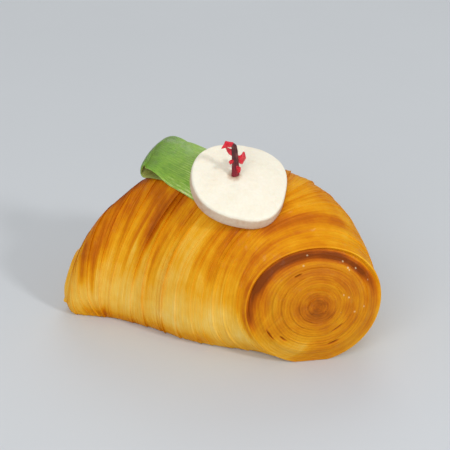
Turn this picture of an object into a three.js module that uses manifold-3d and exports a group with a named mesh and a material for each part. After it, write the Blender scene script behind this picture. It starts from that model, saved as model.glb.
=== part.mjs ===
// A savoury sfogliatella: a baked shell of thin dough layers wound round a bent horn, shut by a
// pinched seam at the left and ending in a coiled round face at the front right. A folded strip
// of leek, a round pale slice and a dried red sprig lie on its front slope, near the top.
// Millimetres, +Z up, +X from the seam to the coiled face, front towards -Y. The origin is on
// the flat base, under the thickest part of the shell.

import * as THREE from "three";
import { mergeVertices } from "three/addons/utils/BufferGeometryUtils.js";
import Module from "manifold-3d";

// Driving dimensions of the shell, at equal steps from the pinched seam to the coiled face:
// the middle of each layer ring, the way it faces, how far it leans, half its width, its height,
// the height of its widest place, and how deep its underside was pressed flat on the tray.
const shellStations = [
  { x: -50.3, y: -16.8, turn: 0, lean: 0.3, half: 4.3, top: 23.5, belly: 8.8, sink: 0.6 },
  { x: -44, y: -12.8, turn: 0, lean: 0.25, half: 11, top: 37, belly: 10, sink: 4.2 },
  { x: -32, y: -3, turn: 0, lean: 0.16, half: 18.4, top: 47.4, belly: 12, sink: 7 },
  { x: -17, y: 2.2, turn: -4, lean: 0.07, half: 24.2, top: 53.3, belly: 13, sink: 8 },
  { x: 2, y: 2, turn: -14, lean: 0.02, half: 27.2, top: 55, belly: 15, sink: 8 },
  { x: 22, y: -1.6, turn: -32, lean: 0, half: 26.8, top: 51.7, belly: 17, sink: 5 },
  { x: 35.7, y: -12.8, turn: -56, lean: -0.05, half: 20.9, top: 39.8, belly: 20.5, sink: 0.4 },
];
// The power of a ring's curve: over its belly, under it, and under it at the coiled face.
const roundness = { above: 2.1, below: 2.35, coiled: 2 };
const tuck = { reach: 2.4, height: 11, span: 0.35 }; // the seam's foot is drawn in under the shell

// Layers that overlap like shingles: each rises to an edge that stands proud as a step.
const layers = { count: 17, step: 0.7, start: 0.15, run: 0.003, uneven: 0.7, wander: 0.011 };
// The layers don't run square to the shell: near the seam they fan out to the lower front, and
// further on they bow to the right as they go over the top. Shares of the shell and degrees.
const winding = { fan: 0.18, bow: 0.15, bowTop: 105, bowSpan: 75, soft: 0.012, least: 0.12 };
// The coiled face: a rim that stands over a groove, and a low dome of coils.
const coil = { dome: 5.8, rise: 2.4, turns: 6, step: 0.5, tread: 0.88 };
const groove = { from: 0.985, wall: 0.055, to: 0.8, deep: 1.5 }; // shares of the way to the rim
const seam = { bulge: 1.6, pinch: 1.1, inset: 0.9 }; // the innermost layer shows there, set in
const around = 56; // points round each ring

// The toppings. The slice's place is the middle of its underside, the leek's is the middle of
// its fold, and the leek's heading and skew are in degrees.
const slice = { x: 7.7, y: -7.7, z: 53, radius: 15.1, thick: 5, bendX: 150, bendY: 45, sides: 44 };
const sliceFacing = new THREE.Vector3(0.3, -0.32, 0.9).normalize();
const leek = { x: -27.4, y: 2.3, heading: -20, skew: 14, width: 16.4, thick: 0.9, long: 25.4 };
const leekLoop = {
  start: 0.38, end: 0.55, front: 5.4, back: 6.8, frontLong: 14, backLong: 24, corner: 2.4,
};
const leekBridge = { from: 10, droop: 0.26 }; // left of this the stiff strip lifts off the shell
const sprig = { height: 11.7, radius: 1.15, taper: 0.34, petalThick: 0.55, right: -1.8, up: -1.2 };
const gap = 0.3; // left between pieces that touch

const wasm = await Module();
wasm.setup();

// A repeatable number from 0 to 1 for each whole k.
const chance = (k) => {
  const value = Math.sin(k * 12.9898 + 4.1) * 43758.5453;
  return value - Math.floor(value);
};
const clamp = (v, low, high) => Math.min(high, Math.max(low, v));
const ease = (low, high, v) => {
  const f = clamp((v - low) / (high - low), 0, 1);
  return f * f * (3 - 2 * f);
};

// One property of the shell at u, 0 at the seam and 1 at the coiled face, by a smooth curve
// through the stations.
function along(key, u) {
  const last = shellStations.length - 1;
  const at = (i) => {
    if (i < 0) return 2 * shellStations[0][key] - shellStations[1][key];
    if (i > last) return 2 * shellStations[last][key] - shellStations[last - 1][key];
    return shellStations[i][key];
  };
  const place = clamp(u, 0, 1) * last;
  const i = Math.min(Math.floor(place), last - 1);
  const f = place - i;
  const [a, b, c, d] = [at(i - 1), at(i), at(i + 1), at(i + 2)];
  return b + 0.5 * f * (c - a + f * (2 * a - 5 * b + 4 * c - d + f * (3 * (b - c) + d - a)));
}

const fullTurn = 2 * Math.PI;
const powered = (value, power) => Math.sign(value) * Math.abs(value) ** (2 / power);

// The point of the ring at u and angle t: 0 at the back, a quarter turn at the top. A ring is a
// rounded arch, cut flat at the floor height. proud moves the skin outwards.
function ringPoint(u, t, proud = 0, floor = 0) {
  const turn = THREE.MathUtils.degToRad(along("turn", u));
  const belly = along("belly", u);
  const half = along("half", u) + proud;
  const upper = Math.sin(t) >= 0;
  const under = THREE.MathUtils.lerp(roundness.below, roundness.coiled, ease(0.75, 1, u));
  const power = upper ? roundness.above : under;
  const rise = upper ? along("top", u) + proud - belly : belly + along("sink", u) + proud;
  const across = half * powered(Math.cos(t), power);
  const z = Math.max(belly + rise * powered(Math.sin(t), power), floor);
  const shift = along("lean", u) * (z - belly);
  const pulled = clamp(1 - u / tuck.span, 0, 1) ** 1.5 * clamp(1 - z / tuck.height, 0, 1) ** 2;
  return new THREE.Vector3(
    along("x", u) - Math.sin(turn) * across + Math.cos(turn) * shift + tuck.reach * pulled,
    along("y", u) + Math.cos(turn) * across + Math.sin(turn) * shift,
    z,
  );
}

// Where layer edge k runs at angle t: evenly along the shell, but wandering a little.
function layerEdge(k, t) {
  const even = (k + layers.uneven * (chance(k) - 0.5)) / layers.count;
  const wave = Math.sin(t + fullTurn * chance(k + 50)) + 0.5 * Math.sin(2 * t + fullTurn * chance(k + 90));
  return clamp(even + layers.wander * wave * Math.sin(Math.PI * even), 0, 1);
}

// Where a layer line that is at place on the front lies at angle t. Lines that would run off the
// shell near its seam gather at the edge of the inner layer.
const hump = (v) => (Math.abs(v) < 1 ? 0.5 + 0.5 * Math.cos(Math.PI * v) : 0);
function lineShift(place, t) {
  const { fan, bow, bowTop, bowSpan } = winding;
  const under = Math.sin(t) > 0 ? 1 : ease(0.06, 0.21, place);
  const fanned = -fan * Math.sin(t) * (1 - ease(0.12, 0.36, place)) * under;
  const bowed = bow * hump((THREE.MathUtils.radToDeg(t) - bowTop) / bowSpan);
  return fanned + bowed * ease(0.2, 0.42, place) * (1 - ease(0.62, 0.97, place));
}
function layerPlace(place, t) {
  const first = layerEdge(1, t);
  const free = (shift) => winding.soft * Math.log1p(Math.exp(shift / winding.soft));
  const begin = free(lineShift(first, t)) * (1 - ease(0, 0.08, place - first));
  const moved = free(place - first + lineShift(place, t)) - begin;
  return clamp(first + (1 - winding.least) * moved + winding.least * (place - first), 0, 1);
}

// How far layer edge k stands proud at angle t, as each edge shows on part of the way round.
function layerHeight(k, t) {
  const times = 1 + Math.floor(2 * chance(k + 20));
  const shown = 0.5 + 0.5 * Math.sin(times * t + fullTurn * chance(k + 30));
  return layers.step * (0.35 + 0.65 * shown) * (0.6 + 0.4 * chance(k + 70));
}

// Rows of points from the seam's nose over the shell and its layer edges to the coil's middle.
// grow makes a slightly larger shell without steps, as a cutter for the toppings.
function shellRows(grow = 0) {
  const angles = Array.from({ length: around }, (_, j) => (fullTurn * j) / around);
  const row = (place) => angles.map(place);
  const rows = [];
  const inset = grow ? 0 : seam.inset;

  const seamRing = row((t) => ringPoint(0, t, grow - inset, -grow));
  const seamMiddle = middle(seamRing);
  for (const r of [0.3, 0.6, 0.85]) {
    const out = seam.bulge * Math.sqrt(1 - r * r) - seam.pinch * ease(0.6, 0.2, r) + grow;
    rows.push(seamRing.map((p) => seamMiddle.clone().lerp(p, r).add(new THREE.Vector3(-out, 0, 0))));
  }

  for (let k = 0; k < layers.count; k += 1) {
    const edge = (t) => (k === 0 ? 0 : layerEdge(k, t));
    const next = (t) => (k === layers.count - 1 ? 1 : layerEdge(k + 1, t) - layers.run);
    for (const f of [0, 0.5, 1]) {
      rows.push(
        row((t) => {
          const place = edge(t) + (next(t) - edge(t)) * f;
          if (k === 0) return ringPoint(place, t, grow - inset, -grow);
          const spread = ease(-0.05, 0.02, place - layerEdge(1, t) + lineShift(place, t));
          const high = grow ? 0 : layerHeight(k + 1, t) * (0.3 + 0.7 * spread);
          const proud = grow + high * (layers.start + (1 - layers.start) * f * f);
          return ringPoint(layerPlace(place, t), t, proud, -grow);
        }),
      );
    }
  }

  // The coils are round near the middle and take the rim's shape further out.
  const rim = rows.at(-1);
  const centre = middle(rim).add(new THREE.Vector3(0, 0, coil.rise));
  const turn = THREE.MathUtils.degToRad(along("turn", 1));
  const facing = new THREE.Vector3(Math.cos(turn), Math.sin(turn), -along("lean", 1)).normalize();
  const across = new THREE.Vector3(-Math.sin(turn), Math.cos(turn), 0);
  const mean = rim.reduce((sum, p) => sum + p.distanceTo(centre), 0) / around;
  const spoke = (r, j) => {
    const round = across.clone().multiplyScalar(Math.cos(angles[j]) * mean);
    round.z = Math.sin(angles[j]) * mean;
    return rim[j].clone().sub(centre).lerp(round, ease(0.9, 0.3, r)).multiplyScalar(r);
  };
  const grooveTop = 0.56 * Math.PI;
  const deep = (t) => (grow ? 0 : groove.deep * ease(-0.45, 0.35, Math.cos(t - grooveTop)));
  const inward = (r, height) =>
    rim.map((_, j) => spoke(r, j).add(centre).addScaledVector(facing, height(angles[j])));
  const domeAt = (r) => coil.dome * (1 - r * r);
  const foot = groove.from - groove.wall;
  rows.push(inward(groove.from, () => domeAt(groove.from) + grow));
  rows.push(inward(foot, (t) => domeAt(foot) + grow - deep(t)));
  rows.push(inward(groove.to, (t) => domeAt(groove.to) + grow - deep(t)));
  for (let k = 0; k < coil.turns; k += 1) {
    const outer = (groove.to - 0.02) * (1 - k / coil.turns);
    const inner = (groove.to - 0.02) * (1 - (k + coil.tread) / coil.turns);
    const sunk = (t, r) => deep(t) * 0.75 * ease(0.45, 0.85, r);
    const lift = (t) => (grow ? 0 : coil.step * (0.4 + 0.6 * Math.sin(t + k * 2.1) ** 2));
    rows.push(inward(outer, (t) => domeAt(outer) + grow + lift(t) - sunk(t, outer)));
    rows.push(inward(inner, (t) => domeAt(inner) + grow - sunk(t, inner)));
  }
  const nose = seamMiddle.clone().add(new THREE.Vector3(-seam.bulge + seam.pinch - grow, 0, 0));
  const tip = centre.clone().addScaledVector(facing, coil.dome + grow);
  return { nose, rows, tip };
}

function middle(points) {
  const sum = points.reduce((total, p) => total.add(p), new THREE.Vector3());
  return sum.divideScalar(points.length);
}

// A closed skin over rows of points, all with the same count, shut by a point at each end.
function skin(first, rows, last) {
  const n = rows[0].length;
  const points = [first, ...rows.flat(), last];
  const faces = [];
  for (let j = 0; j < n; j += 1) {
    const next = (j + 1) % n;
    faces.push(0, 1 + next, 1 + j);
    for (let i = 0; i + 1 < rows.length; i += 1) {
      const [a, b] = [1 + i * n + j, 1 + i * n + next];
      faces.push(a, b, b + n, a, b + n, a + n);
    }
    const end = 1 + (rows.length - 1) * n;
    faces.push(end + j, end + next, points.length - 1);
  }
  return geometryFrom(points.flatMap((p) => [p.x, p.y, p.z]), faces);
}

function geometryFrom(positions, faces) {
  return new THREE.BufferGeometry()
    .setAttribute("position", new THREE.Float32BufferAttribute(positions, 3))
    .setIndex(faces);
}

// A geometry as a solid that can be joined and cut, and back.
function toSolid(geometry) {
  const bare = geometry.clone();
  bare.deleteAttribute("normal");
  bare.deleteAttribute("uv");
  const merged = mergeVertices(bare, 1e-4);
  return new wasm.Manifold(
    new wasm.Mesh({
      numProp: 3,
      vertProperties: new Float32Array(merged.attributes.position.array),
      triVerts: new Uint32Array(merged.index.array),
    }),
  );
}

function toGeometry(solid) {
  const mesh = solid.getMesh();
  return geometryFrom(Array.from(mesh.vertProperties), Array.from(mesh.triVerts)).toNonIndexed();
}

function turnedOut(geometry) {
  return toSolid(geometry).volume() < 0 ? flipped(geometry) : geometry;
}

function flipped(geometry) {
  const index = Array.from(geometry.index.array);
  for (let i = 0; i < index.length; i += 3) [index[i], index[i + 1]] = [index[i + 1], index[i]];
  return geometry.clone().setIndex(index);
}

// The largest body of a cut solid, without loose scraps.
function mainBody(solid) {
  return solid.decompose().reduce((best, s) => (s.volume() > best.volume() ? s : best));
}

function shellGeometry(grow) {
  const { nose, rows, tip } = shellRows(grow);
  return turnedOut(skin(nose, rows, tip));
}

// The height at which a topping rests over a point of the base, found from above on a slightly
// larger shell.
const clearShell = shellGeometry(gap + layers.step);
const clearMesh = new THREE.Mesh(clearShell, new THREE.MeshBasicMaterial());
function restHeight(x, y) {
  const ray = new THREE.Raycaster(new THREE.Vector3(x, y, 200), new THREE.Vector3(0, 0, -1));
  return ray.intersectObject(clearMesh)[0]?.point.z ?? 0;
}

// The leek: a strip that comes out from under the slice on the shell, folds back over itself in
// a drop-shaped loop that is taller and longer at the back, and returns under the slice. s is the
// way along it, from 0 to 1, and side goes from its front edge at -1 to its back edge at 1.
const heading = (degrees) => {
  const angle = THREE.MathUtils.degToRad(degrees);
  return new THREE.Vector2(Math.cos(angle), Math.sin(angle));
};
function leekMiddle(s, side) {
  const toBack = (side + 1) / 2;
  const tall = THREE.MathUtils.lerp(leekLoop.front, leekLoop.back, toBack);
  const loopLong = THREE.MathUtils.lerp(leekLoop.frontLong, leekLoop.backLong, toBack);
  const radius = (tall - leek.thick) / 2;
  const doubled = leek.thick + gap;
  let long;
  let high;
  if (s < leekLoop.start) {
    long = leek.long + (radius - leek.long) * (s / leekLoop.start);
    high = 0;
  } else if (s < leekLoop.end) {
    const a = (Math.PI * (s - leekLoop.start)) / (leekLoop.end - leekLoop.start);
    long = radius * (1 - Math.sin(a));
    high = radius * (1 - Math.cos(a));
  } else {
    const f = (s - leekLoop.end) / (1 - leekLoop.end);
    long = radius + (leek.long - radius) * f;
    const low = ease(-0.05 - 0.25 * (1 - toBack), loopLong / leek.long, f);
    high = doubled + (2 * radius - doubled) * (1 - low) ** 1.2;
  }
  // the corners of the fold are rounded
  const across = side * (leek.width / 2);
  const past = Math.max(0, Math.abs(across) - (leek.width / 2 - leekLoop.corner)) / leekLoop.corner;
  const rounded = leekLoop.corner * (1 - Math.sqrt(1 - 0.98 * past * past));
  long += rounded * ease(12, 2, long) * (0.3 + 0.7 * toBack);
  const run = heading(leek.heading);
  const wide = heading(leek.heading + 90 + leek.skew);
  const place = (distance) =>
    new THREE.Vector2(leek.x, leek.y).addScaledVector(run, distance).addScaledVector(wide, across);
  const { x, y } = place(long);
  const held = Math.max(long, leekBridge.from);
  const bridge = restHeight(...place(held)) - leekBridge.droop * (held - long);
  const rest = Math.max(restHeight(x, y), bridge) + leek.thick / 2;
  return new THREE.Vector3(x, y, rest + high);
}

function leekGeometry(thick) {
  const steps = 54;
  const sides = [-1, -0.9, -0.7, -0.35, 0, 0.35, 0.7, 0.88, 1];
  const lift = (thick - leek.thick) / 2;
  const rows = [];
  for (let i = 0; i <= steps; i += 1) {
    const s = i / steps;
    const here = sides.map((side) => leekMiddle(s, side));
    const before = leekMiddle(Math.max(0, s - 0.004), 0);
    const after = leekMiddle(Math.min(1, s + 0.004), 0);
    const run = after.clone().sub(before).normalize();
    const cross = here.at(-1).clone().sub(here[0]).normalize();
    const out = run.cross(cross).normalize();
    const half = (side) => (leek.thick / 2 + lift) * (1 - 0.25 * side ** 4);
    rows.push([
      ...here.map((p, j) => p.clone().addScaledVector(out, half(sides[j]))),
      ...here.map((p, j) => p.clone().addScaledVector(out, -half(sides[j]))).reverse(),
    ]);
  }
  return skin(middle(rows[0]), rows, middle(rows.at(-1)));
}

// The slice: a round of soft food with a rounded edge, a little out of true and fuller at its
// right front, bent over the shell.
const sliceRight = new THREE.Vector3(1, 0, 0).projectOnPlane(sliceFacing).normalize();
const sliceBack = new THREE.Vector3().crossVectors(sliceFacing, sliceRight);
const sliceFrame = new THREE.Matrix4().makeBasis(sliceRight, sliceBack, sliceFacing);
sliceFrame.setPosition(slice.x, slice.y, slice.z);

function sliceRadius(a) {
  const lumps =
    0.012 * Math.cos(2 * a - 1.1) + 0.033 * Math.cos(3 * a + 2.5) + 0.019 * Math.cos(4 * a + 1.8);
  const fromCorner = THREE.MathUtils.euclideanModulo(a + Math.PI, fullTurn) - Math.PI + 0.55;
  return slice.radius * (1 + lumps + 0.06 * hump(fromCorner / 0.75));
}

// Shares of the slice's radius and thickness, from its underside round the edge to its top.
const sliceProfile = [
  [0.45, 0], [0.8, 0], [0.965, 0.01], [0.993, 0.11], [1, 0.4], [0.999, 0.78],
  [0.985, 0.94], [0.95, 1], [0.7, 1.02], [0.4, 1.02], [0.15, 1],
];

function sliceGeometry() {
  const place = (a, r, h) => {
    const radius = sliceRadius(a) * r;
    const [x, y] = [radius * Math.cos(a), radius * Math.sin(a)];
    const drop = (x * x) / (2 * slice.bendX) + (y * y) / (2 * slice.bendY);
    return new THREE.Vector3(x, y, slice.thick * h - drop).applyMatrix4(sliceFrame);
  };
  const angles = Array.from({ length: slice.sides }, (_, j) => (fullTurn * j) / slice.sides);
  const rows = sliceProfile.map(([r, h]) => angles.map((a) => place(a, r, h)));
  return skin(place(0, 0, 0), rows, place(0, 0, 1));
}

// The sprig: a dry ridged stem with thin angular petals that stick out at its sides. A petal's
// corners are its distance from the middle of the stem and its height, and swing turns it round
// the stem.
const petals = [
  {
    swing: 18,
    corners: [[0.1, 10.9], [-1.4, 10.4], [-2.6, 10.9], [-4.7, 11.3], [-3.5, 12.5], [-3.1, 13.3], [-0.4, 12]],
  },
  { swing: -16, corners: [[-0.3, 9.3], [-0.4, 6.9], [-1.9, 7.1], [-2.6, 8.1], [-3.2, 9.5]] },
  { swing: 30, corners: [[-0.3, 5.9], [-0.5, 4.8], [-1.8, 4.6], [-2.3, 5.7], [-1.6, 6.1]] },
  {
    swing: 22,
    corners: [[0.3, 7.2], [1.9, 6.7], [3.1, 7.6], [3.7, 6.9], [4.1, 4.6], [2.6, 3], [0.5, 4.8]],
  },
  { swing: -20, corners: [[0.4, 3.8], [2.1, 3.5], [1.9, 1.6], [0.6, 0.7]] },
];

function stemMiddle(f) {
  const bend = 0.25 * Math.sin(3.1 * f) - 0.4 * f * f;
  return new THREE.Vector3(bend, 0.3 * Math.sin(4 * f), sprig.height * f);
}

function stemGeometry() {
  const sides = 10;
  const levels = [0, 0.06, 0.2, 0.36, 0.52, 0.68, 0.82, 0.94, 1];
  const rows = levels.map((f) =>
    Array.from({ length: sides }, (_, j) => {
      const a = (fullTurn * j) / sides;
      const ridge = 1 + 0.13 * Math.cos(3 * a + 2 * f) + 0.07 * Math.cos(7 * f + a);
      const radius = sprig.radius * (1 - sprig.taper * f) * ridge * (f === 1 ? 0.6 : 1);
      return stemMiddle(f).add(new THREE.Vector3(radius * Math.cos(a), 0.8 * radius * Math.sin(a), 0));
    }),
  );
  return skin(middle(rows[0]), rows, middle(rows.at(-1)));
}

function petalGeometry({ swing, corners }) {
  const outline = new THREE.Shape(corners.map(([out, up]) => new THREE.Vector2(out, up)));
  const petal = new THREE.ExtrudeGeometry(outline, { depth: sprig.petalThick, bevelEnabled: false });
  petal.translate(0, 0, -sprig.petalThick / 2).rotateX(Math.PI / 2);
  return petal.rotateZ(THREE.MathUtils.degToRad(swing));
}

// Where the sprig stands: on the slice, a little in front of upright, petals spread side to side.
function sprigStand() {
  const foot = new THREE.Vector3(sprig.right, sprig.up, slice.thick * 1.03 + gap);
  const upright = new THREE.Vector3(0.06, -0.14, 1).normalize();
  const side = new THREE.Vector3(0.905, 0.426, 0);
  const back = new THREE.Vector3().crossVectors(upright, side).normalize();
  const right = new THREE.Vector3().crossVectors(back, upright);
  return new THREE.Matrix4().makeBasis(right, back, upright).setPosition(foot.applyMatrix4(sliceFrame));
}

function sprigGeometry() {
  const stem = toSolid(turnedOut(stemGeometry()));
  const whole = petals.reduce((sum, petal) => sum.add(toSolid(petalGeometry(petal))), stem);
  return toGeometry(mainBody(whole)).applyMatrix4(sprigStand());
}

const leekStrip = turnedOut(leekGeometry(leek.thick));
const leekCutter = toSolid(turnedOut(leekGeometry(leek.thick + 2 * gap)));
const sliceSolid = mainBody(
  toSolid(turnedOut(sliceGeometry())).subtract(toSolid(clearShell)).subtract(leekCutter),
);

function named(name, geometry, color, roughness) {
  geometry.computeVertexNormals();
  const mesh = new THREE.Mesh(geometry, new THREE.MeshStandardMaterial({ color, roughness, metalness: 0 }));
  mesh.name = name;
  return mesh;
}

const sfogliatella = new THREE.Group();
sfogliatella.add(
  named("pastry", shellGeometry(), 0xd99a2e, 0.6),
  named("leek_strip", leekStrip, 0x7fae3f, 0.45),
  named("pale_slice", toGeometry(sliceSolid), 0xf8efdc, 0.55),
  named("red_sprig", sprigGeometry(), 0x8c1f2c, 0.4),
);

export default sfogliatella;
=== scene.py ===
# A savoury sfogliatella, dressed for its looks: the baked shell of fine overlapping layers with its
# coiled round face, the folded leek strip, the pale round slice and the dried red sprig. Each piece
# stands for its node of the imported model. Shapes are worked out in millimetres and put into the
# meshes in metres: +X from the seam to the coiled face, front towards -Y, +Z up.
from math import cos, pi, radians, sin

import bpy
import numpy as np
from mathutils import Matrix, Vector


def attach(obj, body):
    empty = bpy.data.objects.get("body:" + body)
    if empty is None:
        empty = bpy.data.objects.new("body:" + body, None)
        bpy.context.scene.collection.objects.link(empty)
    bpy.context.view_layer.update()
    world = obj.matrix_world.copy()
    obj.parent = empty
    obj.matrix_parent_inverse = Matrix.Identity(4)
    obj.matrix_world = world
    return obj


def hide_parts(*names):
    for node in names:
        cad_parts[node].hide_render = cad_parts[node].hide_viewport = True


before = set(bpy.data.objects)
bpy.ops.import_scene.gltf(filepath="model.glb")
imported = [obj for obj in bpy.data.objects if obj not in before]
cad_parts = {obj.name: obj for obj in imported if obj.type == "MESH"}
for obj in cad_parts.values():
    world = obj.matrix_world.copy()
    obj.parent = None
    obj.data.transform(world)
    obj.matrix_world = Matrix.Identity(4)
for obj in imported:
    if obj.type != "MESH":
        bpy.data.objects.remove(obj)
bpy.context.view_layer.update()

fullTurn = 2 * pi
metresPerMm = 0.001
sharpFrom = radians(50)
print("frame loaded:", ", ".join(sorted(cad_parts)))


# Small tools.
def softStep(low, high, value):
    # 0 before low and 1 after high, joined by the curve 3f^2 - 2f^3
    f = np.clip((value - low) / (high - low), 0, 1)
    return f * f * (3 - 2 * f)


def hump(value):
    # a rounded hill: 1 at 0, falling to 0 at -1 and 1 as half a cosine wave
    return np.where(np.abs(value) < 1, 0.5 + 0.5 * np.cos(pi * np.clip(value, -1, 1)), 0)


def blend(a, b, f):
    # a at f = 0 and b at f = 1, in a straight line
    return a + (b - a) * f


def chance(k):
    # a repeatable number from 0 to 1 for each k: what is left of a large sine after its whole part
    value = np.sin(np.asarray(k, float) * 12.9898 + 4.1) * 43758.5453
    return value - np.floor(value)


def uneven(along, turn, seed, cells, octaves=3):
    # random values from -0.5 to 0.5 on a lattice, joined by soft steps; each octave is half as wide
    # and half as strong as the one before. along counts lattice cells, turn goes from 0 to 1 round a
    # ring and meets itself again after a whole number of cells.
    table = np.random.default_rng(seed).random((97, 89))
    total, weight, weights = 0, 1.0, 0.0
    for octave in range(octaves):
        ring = cells * 2**octave
        x = np.asarray(along) * 2**octave + 31.7 * octave
        y = np.asarray(turn) * ring
        i, j = np.floor(x).astype(int), np.floor(y).astype(int)
        fx, fy = softStep(0, 1, x - i), softStep(0, 1, y - j)
        corner = lambda a, b: table[(i + a) % 97, ((j + b) % ring) % 89]
        value = blend(blend(corner(0, 0), corner(1, 0), fx), blend(corner(0, 1), corner(1, 1), fx), fy)
        total = total + weight * value
        weights += weight
        weight /= 2
    return total / weights - 0.5


def joined(*parts):
    # arrays end to end
    return np.concatenate(parts)


def unit(vectors):
    # the same directions, one long
    return vectors / np.linalg.norm(vectors, axis=-1, keepdims=True)


def wayRound(count):
    # so many angles at equal steps round a full turn
    return np.linspace(0, fullTurn, count, endpoint=False)


# Meshes from grids of points.
def withPoles(grid, poles=None):
    # the values of a grid as one list, followed by those of its two poles: the means of its first
    # and last row, unless they are given
    flat = grid.reshape(-1, 3) if grid.ndim == 3 else grid.ravel()
    ends = np.asarray(poles or (grid[0].mean(0), grid[-1].mean(0)))
    return joined(flat, ends.reshape(2, *flat.shape[1:]))


def ringFaces(rows, ring):
    # the faces of a closed skin over rings of points, whose poles come last: squares between
    # neighbouring rings, and a fan of triangles at each end
    j = np.arange(ring)
    after = np.roll(j, -1)
    starts = np.arange(rows - 1)[:, None] * ring
    a, b = (starts + j).ravel(), (starts + after).ravel()
    squares = np.stack([a, b, b + ring, a + ring], 1)
    end = (rows - 1) * ring
    first = np.stack([after, j, np.full(ring, rows * ring)], 1)
    last = np.stack([end + j, end + after, np.full(ring, rows * ring + 1)], 1)
    return squares, joined(first, last)


def turnedOut(points, squares, triangles):
    # the same faces, turned if their signed volume says that they point inwards
    fans = joined(squares[:, [0, 1, 2]], squares[:, [0, 2, 3]], triangles)
    a, b, c = points[fans[:, 0]], points[fans[:, 1]], points[fans[:, 2]]
    if np.einsum("ij,ij->i", a, np.cross(b, c)).sum() < 0:
        return squares[:, ::-1], triangles[:, ::-1]
    return squares, triangles


def linked(name, data):
    # a new object in the scene, at the origin
    thing = bpy.data.objects.new(name, data)
    bpy.context.scene.collection.objects.link(thing)
    return thing


def makePiece(name, node, skins, materials, values):
    # one object from closed skins, each a material number, a grid and its poles; values holds what
    # each point carries for the materials, poles included
    allPoints, faces, numbers, start = [], [], [], 0
    for number, grid, poles in skins:
        points = withPoles(grid, poles)
        squares, triangles = turnedOut(points, *ringFaces(*grid.shape[:2]))
        faces += (squares + start).tolist() + (triangles + start).tolist()
        numbers += [number] * (len(squares) + len(triangles))
        allPoints.append(points)
        start += len(points)
    mesh = bpy.data.meshes.new(name)
    mesh.from_pydata((joined(*allPoints) * metresPerMm).tolist(), [], faces)
    for key, value in values.items():
        value = np.asarray(value, np.float32)
        kind, field = ("FLOAT", "value") if value.ndim == 1 else ("FLOAT_VECTOR", "vector")
        mesh.attributes.new(key, kind, "POINT").data.foreach_set(field, value.ravel())
    for material in materials:
        mesh.materials.append(material)
    mesh.polygons.foreach_set("material_index", numbers)
    mesh.shade_smooth()
    mesh.set_sharp_from_angle(angle=sharpFrom)
    mesh.update()
    piece = linked(name, mesh)
    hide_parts(node)
    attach(piece, "root")
    print(f"{name}: {sum(len(face) - 2 for face in faces)} triangles")


# Tools for the materials.
def tint(red, green, blue):
    # a colour as a screen shows it, from 0 to 255, as the linear colour that a material takes
    value = np.array([red, green, blue]) / 255
    linear = np.where(value <= 0.04045, value / 12.92, ((value + 0.055) / 1.055) ** 2.4)
    return (*linear.tolist(), 1.0)


def addNode(tree, kind, inputs=None, **settings):
    # a shader node with these settings; each input is a fixed value or the output that feeds it
    node = tree.nodes.new("ShaderNode" + kind)
    for key, value in settings.items():
        setattr(node, key, value)
    for key, value in (inputs or {}).items():
        if isinstance(value, bpy.types.NodeSocket):
            tree.links.new(value, node.inputs[key])
        else:
            node.inputs[key].default_value = value
    return node


def weighed(tree, parts, add=0.0, clamped=False):
    # each value times its weight, added up, plus a number
    total = add
    for value, weight in parts:
        step = addNode(tree, "Math", {0: value, 1: weight, 2: total}, operation="MULTIPLY_ADD")
        total = step.outputs[0]
    step.use_clamp = clamped
    return total


def product(tree, first, second):
    return addNode(tree, "Math", {0: first, 1: second}, operation="MULTIPLY").outputs[0]


def mixed(tree, share, first, second):
    # the first colour at share 0 and the second at 1; this node has its colours at its sockets 6
    # and 7, and the mixed one at 2
    return addNode(tree, "Mix", {0: share, 6: first, 7: second}, data_type="RGBA").outputs[2]


def stretched(tree, value, low, high, toLow=0.0, toHigh=1.0):
    inputs = {"Value": value, "From Min": low, "From Max": high, "To Min": toLow, "To Max": toHigh}
    return addNode(tree, "MapRange", inputs).outputs[0]


def ramp(tree, value, stops):
    # colours along a value; each stop is its place from 0 to 1 and its screen colour
    node = addNode(tree, "ValToRGB", {0: value})
    elements = node.color_ramp.elements
    while len(elements) < len(stops):
        elements.new(0.5)
    for element, (place, *color) in zip(elements, stops):
        element.position = place
        element.color = tint(*color)
    return node.outputs[0]


def carried(tree, name, output="Fac"):
    # what the mesh carries at each point under that name
    return addNode(tree, "Attribute", attribute_name=name).outputs[output]


def newGroup(name, inputs, outputs):
    # a node group with inputs of (name, kind, usual value) and plain number outputs
    group = bpy.data.node_groups.new(name, "ShaderNodeTree")
    for label, kind, value in inputs:
        socket = group.interface.new_socket(label, in_out="INPUT", socket_type="NodeSocket" + kind)
        if value is not None:
            socket.default_value = value
    for label in outputs:
        group.interface.new_socket(label, in_out="OUTPUT", socket_type="NodeSocketFloat")
    return group, group.nodes.new("NodeGroupInput").outputs, group.nodes.new("NodeGroupOutput").inputs


def addNoise(tree, place, scale, detail, roughness):
    # noise with its middle values stretched to run from 0 to 1
    noise = addNode(tree, "TexNoise",
                    {"Vector": place, "Scale": scale, "Detail": detail, "Roughness": roughness})
    return stretched(tree, noise.outputs[0], 0.3, 0.7)


def makeFibreLines():
    # fine lines that follow a piece's own flow: noise that changes fast across the lines, which is
    # the flow's first number, and slowly along them, at two widths
    group, given, result = newGroup(
        "fibreLines", [("Flow", "Vector", None), ("Fineness", "Float", 1.0), ("Along", "Float", 0.1)],
        ["Tone", "Ridge"])
    size = addNode(group, "CombineXYZ", {0: given["Fineness"], 1: given["Along"], 2: given["Along"]})
    place = addNode(group, "VectorMath", {0: given["Flow"], 1: size.outputs[0]},
                    operation="MULTIPLY").outputs[0]
    group.links.new(addNoise(group, place, 0.42, 3.0, 0.6), result["Tone"])
    group.links.new(addNoise(group, place, 1.35, 2.0, 0.55), result["Ridge"])
    return group


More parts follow.
